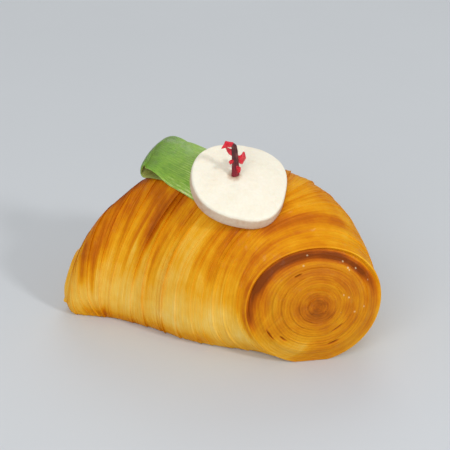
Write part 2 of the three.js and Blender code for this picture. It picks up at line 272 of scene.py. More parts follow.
def makeSoftMottle():
    # cloudy patches with smaller ones inside them
    group, given, result = newGroup(
        "softMottle", [("Place", "Vector", None), ("Scale", "Float", 100.0)], ["Tone"])
    group.links.new(addNoise(group, given["Place"], given["Scale"], 4.0, 0.62), result["Tone"])
    return group


fibreLines = makeFibreLines()
softMottle = makeSoftMottle()


def fibres(tree, fineness, along):
    # fine lines along the flow that the mesh carries: their tone and their ridge
    inputs = {"Flow": carried(tree, "flow", "Vector"), "Fineness": fineness, "Along": along}
    return addNode(tree, "Group", inputs, node_tree=fibreLines).outputs[:2]


def mottle(tree, place, scale):
    return addNode(tree, "Group", {"Place": place, "Scale": scale}, node_tree=softMottle).outputs[0]


def newMaterial(name, values):
    # a material, its nodes, its shader with these fixed values, and Object coordinates
    material = bpy.data.materials.new(name)
    material.use_nodes = True
    tree = material.node_tree
    shader = tree.nodes["Principled BSDF"]
    for key, value in values.items():
        shader.inputs[key].default_value = value
    place = addNode(tree, "TexCoord").outputs["Object"]
    return material, tree, shader, place


def finished(tree, shader, looks, height, strength, distanceMm):
    # the last links of a material: what varies over the surface, and its bump
    bump = addNode(tree, "Bump",
                   {"Height": height, "Strength": strength, "Distance": distanceMm * metresPerMm})
    for key, value in {**looks, "Normal": bump.outputs[0]}.items():
        tree.links.new(value, shader.inputs[key])


# The baked shell, in mm and degrees. Its stations stand at equal steps from the pinched seam to the
# coiled face: the middle of each ring, the way it faces, its lean, half its width, its height, the
# height of its widest place, and how deep its underside was pressed flat.
shell = {
    "stations": {
        "x": [-50.3, -44, -32, -17, 2, 22, 35.7],
        "y": [-16.8, -12.8, -3, 2.2, 2, -1.6, -12.8],
        "turn": [0, 0, 0, -4, -14, -32, -56],
        "lean": [0.3, 0.25, 0.16, 0.07, 0.02, 0, -0.05],
        "half": [4.3, 11, 18.4, 24.2, 27.2, 26.8, 20.9],
        "top": [23.5, 37, 47.4, 53.3, 55, 51.7, 39.8],
        "belly": [8.8, 10, 12, 13, 15, 17, 20.5],
        "sink": [0.6, 4.2, 7, 8, 8, 5, 0.4],
    },
    "powerAbove": 2.1, "powerBelow": 2.35, "powerCoiled": 2.0,
    "tuckReach": 2.4, "tuckHeight": 11, "tuckSpan": 0.35,
    "layers": 17, "step": 0.7, "start": 0.15, "uneven": 0.7, "wander": 0.011,
    "fan": 0.18, "bow": 0.15, "bowTop": 105, "bowSpan": 75, "soft": 0.012, "least": 0.12,
    "fineStep": 0.13, "length": 105.0, "flowRing": 18.0,
    "seamBulge": 1.6, "seamPinch": 1.1, "seamInset": 0.9,
    "coilDome": 5.8, "coilRise": 2.4, "coilTurns": 6, "coilStep": 0.5, "coilTread": 0.88,
    "grooveFrom": 0.985, "grooveFoot": 0.93, "grooveTo": 0.8, "grooveDeep": 1.5,
    "fineCoils": 24, "fineCoilStep": 0.15, "faceRadius": 20, "faceFlow": 20.5,
    "crackWide": 0.22, "crackDeep": 0.7,
    "around": 168, "clear": 1.0,
}


def alongShell(key, u):
    # the value of one property at u, 0 at the seam and 1 at the coiled face: a Catmull-Rom curve
    # through the stations, carried on in a straight line past both ends
    given = np.array(shell["stations"][key], float)
    line = joined([2 * given[0] - given[1]], given, [2 * given[-1] - given[-2]])
    place = np.clip(u, 0, 1) * (len(given) - 1)
    i = np.minimum(np.floor(place).astype(int), len(given) - 2)
    f = place - i
    a, b, c, d = line[i], line[i + 1], line[i + 2], line[i + 3]
    return b + 0.5 * f * (c - a + f * (2 * a - 5 * b + 4 * c - d + f * (3 * (b - c) + d - a)))


def powered(value, power):
    # the power 2 / power of a sine or cosine with its sign kept, which squares up a circle
    return np.sign(value) * np.abs(value) ** (2 / power)


def ringPoint(u, t, proud=0.0, floor=0.0):
    # the point of the ring at u and angle t, 0 at the back and a quarter turn at the top: a rounded
    # arch whose width and height follow powers of the cosine and sine, cut flat at the floor;
    # proud moves the skin outwards, and near the seam the foot is drawn in under the shell
    turn = np.radians(alongShell("turn", u))
    belly = alongShell("belly", u)
    upper = np.sin(t) >= 0
    under = blend(shell["powerBelow"], shell["powerCoiled"], softStep(0.75, 1, u))
    power = np.where(upper, shell["powerAbove"], under)
    rise = np.where(upper, alongShell("top", u) + proud - belly, belly + alongShell("sink", u) + proud)
    across = (alongShell("half", u) + proud) * powered(np.cos(t), power)
    z = np.maximum(belly + rise * powered(np.sin(t), power), floor)
    shift = alongShell("lean", u) * (z - belly)
    nearSeam = np.clip(1 - u / shell["tuckSpan"], 0, 1) ** 1.5
    pulled = shell["tuckReach"] * nearSeam * np.clip(1 - z / shell["tuckHeight"], 0, 1) ** 2
    x = alongShell("x", u) - np.sin(turn) * across + np.cos(turn) * shift + pulled
    y = alongShell("y", u) + np.cos(turn) * across + np.sin(turn) * shift
    return np.stack([x, y, z], -1)


def layerEdge(k, t):
    # where the edge of layer k runs at angle t: evenly along the shell, wandering a little
    even = (k + shell["uneven"] * (chance(k) - 0.5)) / shell["layers"]
    wave = np.sin(t + fullTurn * chance(k + 50)) + 0.5 * np.sin(2 * t + fullTurn * chance(k + 90))
    return np.clip(even + shell["wander"] * wave * np.sin(pi * even), 0, 1)


def layerHeight(k, t):
    # how far the edge of layer k stands proud at angle t: each shows on part of the way round
    times = 1 + np.floor(2 * chance(k + 20))
    shown = 0.5 + 0.5 * np.sin(times * t + fullTurn * chance(k + 30))
    return shell["step"] * (0.35 + 0.65 * shown) * (0.6 + 0.4 * chance(k + 70))


def lineShift(place, t):
    # how far a layer line that is at place on the front has moved along the shell at angle t: near
    # the seam the lines fan out to the lower front, and further on they bow to the right over the top
    under = np.where(np.sin(t) > 0, 1, softStep(0.06, 0.21, place))
    fanned = -shell["fan"] * np.sin(t) * (1 - softStep(0.12, 0.36, place)) * under
    bowed = shell["bow"] * hump((np.degrees(t) - shell["bowTop"]) / shell["bowSpan"])
    return fanned + bowed * softStep(0.2, 0.42, place) * (1 - softStep(0.62, 0.97, place))


def layerPlace(place, t):
    # where that line lies on the shell: lines that would run off it near the seam gather at the edge
    # of the inner layer, by the soft floor s * ln(1 + e^(x / s))
    first = layerEdge(1, t)
    free = lambda shift: shell["soft"] * np.logaddexp(0, shift / shell["soft"])
    begin = free(lineShift(first, t)) * (1 - softStep(0, 0.08, place - first))
    moved = free(place - first + lineShift(place, t)) - begin
    return np.clip(first + (1 - shell["least"]) * moved + shell["least"] * (place - first), 0, 1)


def fineWander(k, n, parts, t):
    # how far fine edge n of broad layer k wanders at angle t, in shares of a fine layer; the first
    # and the last are the broad layer's own edges
    if n in (0, parts):
        return 0.0
    number = 40 * k + n
    slow = 0.22 * np.sin(2 * t + fullTurn * chance(number + 7))
    return slow + 0.2 * np.sin(5 * t + fullTurn * chance(number + 3))


def layerRows(t):
    # rows of the layers from the inner layer's edge to the rim: each broad layer is parted into
    # fine ones, more of them near the seam, and each fine one rises from its foot to its edge, then
    # drops to the next foot
    places, prouds, creaseShade = [], [], []
    for k in range(1, shell["layers"]):
        begin = layerEdge(k, t)
        end = layerEdge(k + 1, t) if k < shell["layers"] - 1 else np.ones_like(t)
        high = layerHeight(k + 1, t)
        more = 1 + 1.3 * float(hump((k / shell["layers"] - 0.26) / 0.14))
        parts = int(round((4.2 if k > 9 else 5) * more))
        for m in range(parts):
            number = 40 * k + m
            shown = 0.5 + 0.5 * np.sin((2 + int(3 * chance(number))) * t + fullTurn * chance(number + 0.5))
            fine = shell["fineStep"] * (0.25 + 0.75 * shown) * (0.5 + 0.5 * chance(number + 0.2))
            foot, edge = fineWander(k, m, parts, t), fineWander(k, m + 1, parts, t)
            for f in (0.0, 0.3, 0.62, 0.86, 0.965):
                share = (m + f + blend(foot, edge, f)) / parts
                places.append(blend(begin, end, share))
                broad = high * (shell["start"] + (1 - shell["start"]) * np.clip(share, 0, 1) ** 2)
                prouds.append(broad + fine * (f**1.5 - 0.45))
                # painted shade: darkest in the crease at the foot of each fine layer, fading towards its edge
                creaseShade.append((1 - f) ** 1.5 * (0.3 + 0.7 * shown))
    return np.array(places), np.array(prouds), np.array(creaseShade)


def capPoint(r, t, height):
    # the point of the coiled face at r, 1 at the rim and 0 in the middle: round near the middle and
    # in the rim's own shape further out, raised along the way that the face looks
    ring = ringPoint(np.ones_like(t), t, layerHeight(shell["layers"], t))
    coarse = wayRound(56)
    rim = ringPoint(np.ones(56), coarse, layerHeight(shell["layers"], coarse))
    centre = rim.mean(0) + [0, 0, shell["coilRise"]]
    mean = np.linalg.norm(rim - centre, axis=1).mean()
    turn = radians(shell["stations"]["turn"][-1])
    lean = shell["stations"]["lean"][-1]
    facing = unit(np.array([cos(turn), sin(turn), -lean]))
    across = np.array([-sin(turn), cos(turn), 0])
    circle = mean * (np.cos(t)[..., None] * across + np.sin(t)[..., None] * np.array([0, 0, 1]))
    spoke = blend(ring - centre, circle, softStep(0.9, 0.3, r)[..., None]) * r[..., None]
    return centre + spoke + height[..., None] * facing


def capHeight(r, t):
    # a low dome of coils behind a groove: each broad coil stands proud at its outer edge, fine
    # coils wind over them as one spiral
    around = t / fullTurn
    grooveShare = softStep(-0.45, 0.35, np.cos(t - 0.56 * pi))
    deep = shell["grooveDeep"] * grooveShare
    wall = softStep(shell["grooveFrom"], shell["grooveFoot"], r)
    inner = shell["grooveTo"] - 0.02
    sunk = deep * np.where(r > inner, wall, 0.75 * softStep(0.45, 0.85, r) / softStep(0.45, 0.85, inner))
    sunk = np.where(r > inner, blend(sunk, deep * 0.76, softStep(0.93, inner, r)), sunk)
    coil = (1 - r / inner) * shell["coilTurns"] + 0.22 * uneven(r * 3, around, 5, 4, 2)
    k = np.floor(coil)
    share = coil - k
    lift = shell["coilStep"] * (0.4 + 0.6 * np.sin(t + k * 2.1) ** 2)
    tread = np.where(share < shell["coilTread"], 1 - share / shell["coilTread"],
                     softStep(shell["coilTread"], 1, share))
    broad = np.where(r < inner, lift * tread, lift * softStep(0.86, inner, r))
    winding = (1 - r) * shell["fineCoils"] + around + 0.35 * uneven(r * 4, around, 9, 5, 2)
    fineShare = winding - np.floor(winding)
    shown = 0.75 + 0.9 * uneven(r * 19, around, 12, 7, 2)
    fine = shell["fineCoilStep"] * shown * ((1 - fineShare) ** 1.3 - 0.4)
    fine = fine * softStep(1.0, 0.93, r) * softStep(0.02, 0.1, r)
    height = shell["coilDome"] * (1 - r * r) - sunk + broad * softStep(0.03, 0.12, r) + fine
    return height, fineShare, grooveShare


# Baked colour over the shell, as soft strokes from (u, degrees) to (u, degrees): half width in u,
# and how much browner (or, below 0, paler) the crust is there.
shellStrokes = [
    (0.08, 92, 0.3, 96, 0.06, 0.2), (0.14, 110, 0.22, 150, 0.05, 0.09),
    (0.152, 136, 0.187, 166, 0.028, 0.23), (0.26, 108, 0.26, 142, 0.016, 0.12),
    (0.31, 128, 0.29, 152, 0.014, 0.1), (0.36, 120, 0.33, 165, 0.012, 0.1),
    (0.42, 118, 0.38, 152, 0.022, 0.15), (0.585, 120, 0.485, 148, 0.015, 0.25),
    (0.64, 128, 0.6, 140, 0.012, 0.1), (0.65, 120, 0.54, 160, 0.018, -0.12),
    (0.49, 128, 0.44, 148, 0.018, 0.19), (0.82, 134, 0.72, 164, 0.014, 0.06),
    (0.925, 66, 0.915, 112, 0.015, 0.3), (0.9, 112, 0.9, 140, 0.014, 0.1),
    (0.95, 100, 0.94, 176, 0.012, 0.05), (0.86, 148, 0.8, 166, 0.03, 0.09),
    (0.885, 134, 0.87, 152, 0.03, -0.1), (0.985, 165, 0.985, 205, 0.016, 0.3),
    (0.31, 202, 0.31, 210, 0.006, 0.18), (0.24, 206, 0.46, 211, 0.03, 0.2),
    (0.5, 209, 0.76, 209, 0.03, 0.14), (0.02, 95, 0.1, 138, 0.018, -0.25), (0, 120, 0.04, 170, 0.025, -0.2),
    (0.88, 184, 0.94, 214, 0.05, -0.08), (0.3, 185, 0.75, 188, 0.16, -0.08),
    (0.2, 178, 0.6, 176, 0.1, -0.05), (0.55, 192, 0.92, 205, 0.12, -0.06),
    (0.42, 155, 0.4, 200, 0.03, -0.05), (0.76, 56, 0.87, 88, 0.03, -0.05),
    (0.72, 134, 0.66, 152, 0.02, -0.1),
]
# The same on the coiled face, from (r, degrees) to (r, degrees), with half width in r. The first
# five strokes darken the groove's floor under the lip: baked brown and painted shade. The paler
# strokes at r 0.97 and 0.965 lie on the groove's wall: painted light against its shadow.
capStrokes = [
    (0.88, 24, 0.82, 40, 0.05, 0.28), (0.815, 42, 0.83, 68, 0.07, 0.36), (0.85, 72, 0.87, 108, 0.07, 0.3),
    (0.865, 112, 0.875, 146, 0.065, 0.34), (0.885, 150, 0.955, 184, 0.055, 0.38),
    (0.55, 22, 0.5, 80, 0.12, 0.1), (0.97, -12, 0.955, 72, 0.032, -0.14),
    (0.965, 118, 0.97, 166, 0.03, -0.1), (0.9, -60, 0.94, 5, 0.06, 0.06), (0, 0, 0, 360, 0.24, 0.24),
    (0.62, 60, 0.66, 125, 0.12, 0.1), (0.12, -120, 0.22, -40, 0.1, 0.12), (0.6, -28, 0.46, -12, 0.1, 0.12),
    (0.24, 30, 0.24, 110, 0.06, -0.08), (0.93, -132, 0.72, -110, 0.15, -0.2),
    (0.45, 184, 0.42, 228, 0.1, -0.08), (0.42, 20, 0.36, 95, 0.05, -0.05),
    (0.72, 100, 0.62, 170, 0.05, -0.06), (0.55, -100, 0.5, -50, 0.06, -0.04),
]
# Short dark cracks in the coiled face: (r, degrees, length in mm).
cracks = [(0.79, -148, 3.4), (0.70, -133, 2.4), (0.70, -67, 3.2), (0.52, -52, 4.0), (0.60, 118, 2.0)]


def strokes(place, degrees, listed, degreeSoft=9.0):
    # the sum of the strokes: each falls off with the square of the distance to its middle line, in
    # steps of its half width along the shell and of degreeSoft round it
    total = 0
    for place0, degrees0, place1, degrees1, half, strength in listed:
        middle = (degrees0 + degrees1) / 2
        around = (degrees - middle + 180) % 360 - 180 + middle
        spanX, spanY = (place1 - place0) / half, (degrees1 - degrees0) / degreeSoft
        x, y = (place - place0) / half, (around - degrees0) / degreeSoft
        f = np.clip((x * spanX + y * spanY) / max(spanX**2 + spanY**2, 1e-9), 0, 1)
        total = total + strength * np.exp(-((x - f * spanX) ** 2) - (y - f * spanY) ** 2)
    return total


def crackedShare(r, degrees):
    # 1 in the middle of a crack and 0 away from it: a bell across it, and flatter along it
    total = 0 * r
    for place, middle, long in cracks:
        aside = (r - place) * shell["faceRadius"] / shell["crackWide"]
        turned = np.radians((degrees - middle + 180) % 360 - 180)
        past = turned * place * shell["faceRadius"] / (long / 2)
        total = total + np.exp(-aside**2 - past**4)
    return total


def crustValues(t, line, bodyU, outer, bodyShade, r, fineShare, grooveShare, cracked):
    # what the crust's material reads: how baked it is, with painted shade and light, how cracked, where
    # pale glints are painted and how coiled it is, and a place along the flow of the layers, in mm;
    # line is that place, and the rows of the body come before those of the face, where r counts
    degrees = np.degrees(t)
    turns = t / fullTurn
    onFace = lambda values: joined(0 * bodyU, values)
    far = line / shell["length"]
    crossing = 0.11 * shell["length"] * hump((degrees - 228) / 48)
    line = line + crossing * softStep(0.78, 0.97, far) * softStep(1.14, 1.02, far)
    streak = (0.35 * uneven(line / 1.2, turns, 31, 10, 2) + 0.9 * uneven(line / 3.4, turns, 32, 8, 2)
              + 1.05 * uneven(line / 8.5, turns, 33, 6, 2)) / 2.3
    # flames of brown reach down from the top on both sides, each strip's to its own height
    bodyLine = line[:len(bodyU)]
    ends = 156 + 50 * uneven(bodyLine / 2.4, 0, 34, 1, 2) + 34 * uneven(bodyLine / 9, 0, 35, 1, 1)
    flame = softStep(ends + 20, ends - 20, degrees) * softStep(160 - ends, 200 - ends, degrees)
    flame = flame * (1 + 0.6 * uneven(bodyLine / 1.9, turns, 36, 5, 2))
    flame = flame * (1 - 0.32 * softStep(0.5, 0.66, bodyU))
    bakedBody = (0.28 * flame + strokes(bodyU, degrees, shellStrokes)) * (0.35 + 0.65 * outer)
    bakedBody = 0.335 + bakedBody - 0.02 * hump((degrees - 190) / 40)
    bakedBody = bakedBody - 0.5 * np.clip(bakedBody - 0.68, 0, None)
    faceTone = 0.545 + strokes(r, degrees, capStrokes, 15) - 0.06 * (1 - grooveShare) * softStep(0.3, 0.9, r)
    # painted highlight: a paler thin edge on the lip over the groove
    faceTone = faceTone - 0.16 * softStep(0.985, 0.995, r) * grooveShare
    amount = joined(0.18 + 0.1 * softStep(175, 140, degrees) + 0 * bodyU, 0.34 + 0 * r)
    # painted shade: darker in the creases at the feet of the body's fine layers, and towards the foot of each
    # fine coil of the face
    shade = joined(bodyShade, 0.08 * (fineShare - 0.5))
    bakedWithPaintedLight = joined(bakedBody, faceTone) + amount * streak + shade
    wound = (degrees + 180) % 360 - 180
    glintZone = softStep(0.2, 0.35, r) * softStep(0.95, 0.85, r)
    glintZone = glintZone * softStep(-40, 0, wound) * softStep(130, 90, wound)
    dull = softStep(1.0, 0.9, r) * blend(1, softStep(0.80, 0.68, r), grooveShare) * softStep(-0.2, 0.2, r)
    ring = shell["flowRing"]
    flow = np.stack(np.broadcast_arrays(line, ring * np.cos(t), ring * np.sin(t)), -1)
    return {
        "bakedWithPaintedLight": withPoles(bakedWithPaintedLight, (0.35, 0.74)),
        "crack": withPoles(onFace(cracked), (0, 0)),
        "paintedGlints": withPoles(onFace(glintZone), (0, 0)),
        "coiled": withPoles(onFace(dull), (0, 0.5)),
        "flow": withPoles(flow, ([-6, 0, 0], [shell["length"] + shell["faceFlow"], 0, 0])),
    }


def shellGrid():
    # rows of rings: the nose of the seam, the set-in inner layer, the fine layers, and the face
    t = wayRound(shell["around"])
    seamRing = ringPoint(np.zeros_like(t), t, -shell["seamInset"])
    seamMiddle = seamRing.mean(0)
    noseShares = np.array([0.12, 0.25, 0.38, 0.5, 0.62, 0.74, 0.84, 0.92, 0.97])[:, None]
    out = shell["seamBulge"] * np.sqrt(1 - noseShares**2)
    out = out - shell["seamPinch"] * softStep(0.6, 0.2, noseShares)
    noseRows = blend(seamMiddle, seamRing, noseShares[..., None]) - out[..., None] * np.array([1, 0, 0])

    innerEdge = layerEdge(1, t)
    innerShares = np.array([0, 0.12, 0.3, 0.48, 0.66, 0.84, 0.985])[:, None]
    innerPlaces = innerShares * innerEdge
    ripple = 0.18 * uneven(innerShares * 7, t / fullTurn, 3, 9, 2) * softStep(0, 0.2, innerShares)
    innerRows = ringPoint(innerPlaces, t, ripple - shell["seamInset"])
    # a small pointed flake stands out at the foot of the seam
    flake = np.exp(-(((np.degrees(t) - 226) / 5) ** 2))[:, None] * np.array([-1, -0.25, 0])
    noseRows = noseRows + flake * (noseShares**6)[..., None]
    innerRows = innerRows + flake * np.exp(-((innerShares * 7) ** 2))[..., None]

    places, prouds, creaseShade = layerRows(t)
    u = layerPlace(places, t)
    squeeze = 0.3 + 0.7 * softStep(-0.05, 0.02, places - innerEdge + lineShift(places, t))
    frayed = 0.16 * uneven(places * 150, t / fullTurn, 21, 24, 2)
    proud = blend((prouds + frayed) * squeeze, layerHeight(shell["layers"], t), softStep(0.985, 1, u))
    bodyRows = ringPoint(u, t, proud)

    lip = [0.995, 0.988, 0.982, 0.978, 0.974, 0.970, 0.966, 0.962, 0.958, 0.953, 0.947, 0.942]
    r = joined(lip, np.linspace(0.936, 0.02, 108))[:, None] + 0 * t
    height, fineShare, grooveShare = capHeight(r, t)
    cracked = crackedShare(r, np.degrees(t))
    capRows = capPoint(r, t, height - shell["crackDeep"] * cracked)

    nose = seamMiddle - [shell["seamBulge"] - shell["seamPinch"], 0, 0]
    centre = np.array([0.0])
    tip = capPoint(centre, centre, capHeight(centre, centre)[0])[0]

    noseColumn = noseShares + 0 * t
    line = joined(-6 * (1 - noseColumn), innerPlaces * shell["length"], places * shell["length"],
                  shell["length"] + shell["faceFlow"] * (1 - r))
    bodyU = joined(0 * noseColumn, innerPlaces, u)
    outer = joined(0 * noseColumn, 0 * innerPlaces, 1 + 0 * u)
    # painted shade in the creases at the feet of the fine layers
    bodyShade = joined(0 * noseColumn, 0 * innerPlaces, (0.055 * creaseShade - 0.02) * squeeze)
    values = crustValues(t, line, bodyU, outer, bodyShade, r, fineShare, grooveShare + 0 * r, cracked)
    return joined(noseRows, innerRows, bodyRows, capRows), (nose, tip), values


def makeCrust():
    # golden crust: colour by how baked it is, with the painted shade and light that this value carries,
    # broken up by fine lines along the layers and by soft patches; browner places are a little
    # smoother, and the lines stand up as a fine bump
    material, tree, shader, place = newMaterial("goldenCrust", {
        "Specular IOR Level": 0.12, "Subsurface Weight": 0.04, "Subsurface Scale": 0.001,
        "Coat Roughness": 0.25})
    lineTone, lineRidge = fibres(tree, 3.2, 0.16)
    hairTone, hairRidge = fibres(tree, 7.5, 0.3)
    patches = mottle(tree, place, 160.0)
    tone = weighed(tree, [(carried(tree, "bakedWithPaintedLight"), 1.0), (lineTone, 0.10), (hairTone, 0.06), (patches, 0.13),
                          (carried(tree, "crack"), 0.42)], -0.145, clamped=True)
    color = ramp(tree, tone, [(0, 244, 218, 134), (0.2, 237, 190, 78), (0.38, 230, 164, 24),
                              (0.52, 217, 139, 0), (0.66, 194, 105, 0), (0.82, 162, 78, 0), (1, 126, 58, 4)])
    # the coiled face, away from its rim, its very middle and the groove where it runs, is drawn a little
    # towards a duller, darker brown
    dulled = mixed(tree, weighed(tree, [(carried(tree, "coiled"), 0.24)]), color, tint(170, 114, 30))
    # a few pale specks, painted glints, where the mesh allows them: the middles of some cells of a scattered
    # pattern
    cells = addNode(tree, "TexVoronoi", {"Vector": place, "Scale": 600.0})
    chosen = addNode(tree, "SeparateColor", {0: cells.outputs["Color"]}).outputs[0]
    grain = product(tree, stretched(tree, cells.outputs["Distance"], 0.26, 0.1, 0.0, 0.6),
                    stretched(tree, chosen, 0.78, 0.8))
    grain = product(tree, grain, carried(tree, "paintedGlints"))
    butter = mottle(tree, place, 420.0)
    finished(tree, shader, {
        "Base Color": mixed(tree, grain, dulled, tint(246, 222, 176)),
        "Roughness": stretched(tree, tone, 0.1, 0.9, 0.66, 0.5),
        "Coat Weight": stretched(tree, butter, 0.68, 0.98, 0.0, 0.3),
    }, weighed(tree, [(lineRidge, 0.5), (hairRidge, 0.18), (patches, 0.2)]), 0.4, 0.18)
    return material


def restHeight(x, y):
    # the height over (x, y) of a shell that is a little larger: Newton's steps on u and the angle
    # until the ring point stands over that place
    grow = shell["clear"]
    u = np.clip((x + 50) / 88, 0.03, 0.97)
    middleY, half = alongShell("y", u), alongShell("half", u)
    t = np.arccos(np.clip((y - middleY) / half, -0.9, 0.9))
    nudge = 1e-4
    for _ in range(18):
        here = ringPoint(u, t, grow, -grow)
        alongU = (ringPoint(u + nudge, t, grow, -grow) - here) / nudge
        alongT = (ringPoint(u, t + nudge, grow, -grow) - here) / nudge
        missX, missY = x - here[..., 0], y - here[..., 1]
        det = alongU[..., 0] * alongT[..., 1] - alongU[..., 1] * alongT[..., 0]
        det = np.where(np.abs(det) < 1e-3, 1e-3, det)
        stepU = (missX * alongT[..., 1] - missY * alongT[..., 0]) / det
        stepT = (missY * alongU[..., 0] - missX * alongU[..., 1]) / det
        u = np.clip(u + np.clip(stepU, -0.08, 0.08), 0.001, 0.999)
        t = np.clip(t + np.clip(stepT, -0.25, 0.25), 0.05, 3.09)
    return ringPoint(u, t, grow, -grow)[..., 2]


shellSkin, shellPoles, shellValues = shellGrid()
makePiece("baked_shell", "pastry", [(0, shellSkin, shellPoles)], [makeCrust()], shellValues)

# The leek strip, in mm and degrees.
leek = {
    "x": -27.4, "y": 2.3, "heading": -20, "skew": 14, "width": 16.4, "thick": 0.9, "long": 25.4,
    "loopStart": 0.38, "loopEnd": 0.55, "loopFront": 5.4, "loopBack": 6.8, "frontLong": 14,
    "backLong": 24, "corner": 2.4, "bridgeFrom": 10, "bridgeDroop": 0.26, "gap": 0.3,
    "veins": 31, "veinHeight": 0.04, "rows": 230, "across": 160,
    "flowLong": 66, "innerFlow": 40,
}


leekRun = radians(leek["heading"])
leekWide = radians(leek["heading"] + 90 + leek["skew"])


def leekPlace(long, across):
    # a point of the base under the strip: so far along its heading and so far across it
    x = leek["x"] + cos(leekRun) * long + cos(leekWide) * across
    y = leek["y"] + sin(leekRun) * long + sin(leekWide) * across
    return x, y


def foldRadius(side):
    # half the height of the fold's loop, from its front edge at side -1 to its back edge at 1
    return (blend(leek["loopFront"], leek["loopBack"], (side + 1) / 2) - leek["thick"]) / 2


def foldHeight(f, side):
    # how high the returning part of the strip is over the lower one, f from the fold to its end: it
    # comes down in a long S, sooner at the front
    toBack = (side + 1) / 2
    loopLong = blend(leek["frontLong"], leek["backLong"], toBack)
    doubled = leek["thick"] + leek["gap"]
    low = softStep(-0.05 - 0.25 * (1 - toBack), loopLong / leek["long"], f)
    return doubled + (2 * foldRadius(side) - doubled) * (1 - low) ** 1.2


def leekMiddle(s, side):
    # the middle of the strip's thickness, s along it and side from its front edge at -1 to its back
    # edge at 1: out along the shell, round a half circle, and back in a long drop-shaped slope; the
    # corners of the fold are rounded
    radius = foldRadius(side)
    a = pi * np.clip((s - leek["loopStart"]) / (leek["loopEnd"] - leek["loopStart"]), 0, 1)
    f = np.clip((s - leek["loopEnd"]) / (1 - leek["loopEnd"]), 0, 1)
    out = s < leek["loopStart"]
    back = s >= leek["loopEnd"]
    long = np.where(out, blend(leek["long"], radius, s / leek["loopStart"]), radius * (1 - np.sin(a)))
    long = np.where(back, blend(radius, leek["long"], f), long)
    high = np.where(back, foldHeight(f, side), radius * (1 - np.cos(a)))
    across = side * leek["width"] / 2
    past = np.clip(np.abs(across) - leek["width"] / 2 + leek["corner"], 0, None) / leek["corner"]
    rounded = leek["corner"] * (1 - np.sqrt(1 - 0.98 * past**2))
    long = long + rounded * softStep(12, 2, long) * (0.3 + 0.35 * (side + 1))
    # the returning part hangs a little over the lower one's front edge
    frontEdge = softStep(-0.7, -1, side) * softStep(6, 15, long)
    high = high - np.where(back, 0.9, 0) * frontEdge
    across = across + np.where(back, -0.3, 0.8) * frontEdge
    held = np.maximum(long, leek["bridgeFrom"])
    bridge = restHeight(*leekPlace(held, across)) - leek["bridgeDroop"] * (held - long)
    x, y = leekPlace(long, across)
    rest = np.maximum(restHeight(x, y), bridge) + leek["thick"] / 2
    return np.stack([x, y, rest + high], -1)


def leekGrid():
    # the cross section of the strip, a thin rounded slab with parallel veins, carried along its
    # middle surface; the section's points go over the outer face and back under the inner one
    half = leek["across"] // 2
    side = np.sin(np.linspace(-pi / 2, pi / 2, half))
    face = joined(np.ones(half), -np.ones(half))
    s = np.linspace(0, 1, leek["rows"])[:, None] + 0 * face
    side = joined(side, side[::-1]) + 0 * s
    stepS, step = 2e-3, 0.02
    run = unit(leekMiddle(np.clip(s + stepS, 0, 1), side) - leekMiddle(np.clip(s - stepS, 0, 1), side))
    wide = unit(leekMiddle(s, np.clip(side + step, -1, 1)) - leekMiddle(s, np.clip(side - step, -1, 1)))
    edge = np.sqrt(np.clip(1 - np.abs(side) ** 14, 0, 1))
    thick = leek["thick"] / 2 * (0.15 + 0.85 * edge) * (1 - 0.2 * side**4)
    drift = 0.25 * np.sin(5 * s) + 0.15 * np.sin(11 * s + 1)
    vein = np.abs(np.sin(pi * leek["veins"] * (side + 1) / 2 + drift))
    relief = leek["veinHeight"] * (vein - 0.6) + 0.22 * uneven(s * 9, (side + 1) / 2, 41, 6, 3)
    offset = face * (thick + 0.8 * edge * relief)
    grid = leekMiddle(s, side) + offset[..., None] * unit(np.cross(run, wide))
    # the inner face has lines of its own, so it reads them from another place
    away = side * leek["width"] / 2 + leek["innerFlow"] * (face < 0)
    flow = np.stack([away, s * leek["flowLong"], 0 * s], -1)
    # lip is near 1 at the strip's long edges, which the leaf's material paints lighter: painted light on
    # their shade
    values = {"flow": flow, "vein": vein, "lip": np.abs(side) ** 8, "outer": (face + 1) / 2 + 0 * s, "way": s}
    return grid, {key: withPoles(value) for key, value in values.items()}


